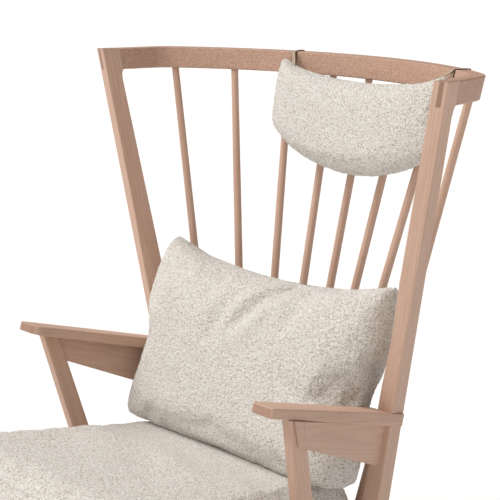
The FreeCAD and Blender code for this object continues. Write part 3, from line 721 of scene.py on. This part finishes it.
def make_strap(side, sign, plane):
    """One strap: a band round the rail, and the run from its front down to the pillow."""
    face = webbing("strap_face_" + side, colour(196, 178, 152), colour(150, 128, 102))
    edge = webbing("strap_edge_" + side, colour(94, 70, 54), colour(58, 43, 33))
    middle, along, out, points = loop_frame("strap_loop_" + side)
    reach = (points - np.array(middle)) @ np.array(out)
    heights = points[:, 2]
    down, inset, ease, near = 0.0009, 0.0008, 0.0022, 0.002
    top, bottom = heights.max() - down, heights.min() + down
    upper, lower = reach[heights > top - near], reach[heights < bottom + near]

    def corner(r, z):
        return Vector((middle.x, middle.y, z)) + out * r

    corners = [corner(upper.min() + inset, top), corner(upper.max() - inset, top),
               corner(lower.max() - inset, bottom), corner(lower.min() + inset, bottom)]
    path = []
    for i, c in enumerate(corners):
        before, after = corners[i - 1], corners[(i + 1) % 4]
        a, b = c + (before - c).normalized() * ease, c + (after - c).normalized() * ease
        path += [a, (a + b + c * 2) / 4, b]
    band = ribbon("strap_band_" + side, path, [along] * len(path), face, edge, closed=True)
    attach(band, FRAME)
    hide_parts("strap_loop_" + side)

    pillow_end = plane.point(sign * (NECK_CORNER[0] - 0.037), NECK_CORNER[1] - 0.012)
    top_in, low_in = corners[0], corners[3]
    start = top_in + (low_in - top_in) * 0.03 - out * (STRAP_THICK + 0.0003)
    leave = top_in + (low_in - top_in) * 0.08 - out * (STRAP_THICK + 0.0012)
    bend = leave.lerp(pillow_end, 0.55) + Vector((0, 0, -0.0008))
    line = smooth_line([start, leave, bend, pillow_end], 6)
    twist = [along.lerp(plane.across, min(1, i / (len(line) - 1) * 1.2)) for i in range(len(line))]
    run = ribbon("strap_run_" + side, line, twist, face, edge)
    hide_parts("strap_hanger_" + side)
    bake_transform(run)


# ---- stage, light, camera ------------------------------------------------------------
KEY_FROM = Vector((-0.40, -0.42, 0.81))
FILL_FROM = (-0.25, -0.91, 0.32)      # the side on which the surround is brightest
CAMERA_AT = (1.60299, -1.41689, 1.19013)


def make_floor():
    mesh = bpy.data.meshes.new("floor")
    size = 30.0
    corners = [(-size, -size, 0), (size, -size, 0), (size, size, 0), (-size, size, 0)]
    mesh.from_pydata(corners, [], [(0, 1, 2, 3)])
    g = Graph("pale_floor")
    at = g.add("TexCoord", output="Object")
    mottle = g.noise(at, 3, 3)
    base = g.mix(g.span(mottle, 0.3, 0.7), colour(246, 246, 246), colour(250, 250, 250))
    floor = new_object("floor", mesh, g.finish(Base_Color=base, Roughness=0.9, Specular_IOR_Level=0.1))


def make_lights():
    """A wide soft key from above and the left, a fill brighter from the front, a white surround."""
    key = bpy.data.lights.new("key", "SUN")
    key.energy = 2.6
    key.angle = math.radians(50)
    lamp = bpy.data.objects.new("key", key)
    bpy.context.scene.collection.objects.link(lamp)
    lamp.rotation_mode = "QUATERNION"
    lamp.rotation_quaternion = KEY_FROM.to_track_quat("Z", "Y")
    world = bpy.data.worlds.new("studio")
    bpy.context.scene.world = world
    world.use_nodes = True
    tree = world.node_tree
    link, add = tree.links.new, tree.nodes.new
    towards = add("ShaderNodeVectorMath")
    towards.operation = "DOT_PRODUCT"
    towards.inputs[1].default_value = FILL_FROM
    link(add("ShaderNodeTexCoord").outputs["Generated"], towards.inputs[0])
    level = add("ShaderNodeMapRange")
    for name, value in (("From Min", -1), ("From Max", 1), ("To Min", 0.10), ("To Max", 0.76)):
        level.inputs[name].default_value = value
    link(towards.outputs["Value"], level.inputs["Value"])
    fill = tree.nodes["Background"]
    fill.inputs["Color"].default_value = (1.0, 0.94, 0.895, 1)
    link(level.outputs[0], fill.inputs["Strength"])
    white = add("ShaderNodeBackground")
    white.inputs["Color"].default_value = (1, 1, 1, 1)
    mix = add("ShaderNodeMixShader")
    link(add("ShaderNodeLightPath").outputs["Is Camera Ray"], mix.inputs[0])
    link(fill.outputs[0], mix.inputs[1])
    link(white.outputs[0], mix.inputs[2])
    link(mix.outputs[0], tree.nodes["World Output"].inputs["Surface"])


def make_camera():
    """The photograph's view: 46.5 degrees round to the sitter's left and 12.7 degrees down."""
    right = Vector((0.68795, 0.72574, 0.00517))
    up = Vector((-0.16261, 0.14720, 0.97565))
    camera = bpy.data.objects.new("camera", bpy.data.cameras.new("camera"))
    bpy.context.scene.collection.objects.link(camera)
    turn = Matrix((right, up, right.cross(up))).transposed()
    camera.matrix_world = Matrix.Translation(CAMERA_AT) @ turn.to_4x4()
    camera.data.sensor_width = 36.0
    camera.data.lens = 98.93
    bpy.context.scene.camera = camera
    bpy.context.scene.view_settings.view_transform = "Standard"


paint_cad_nodes()
make_seat()
make_lumbar()
pillow = neck_plane()
make_neck(pillow)
make_strap("left", -1, pillow)
make_strap("right", 1, pillow)
make_floor()
make_lights()
make_camera()
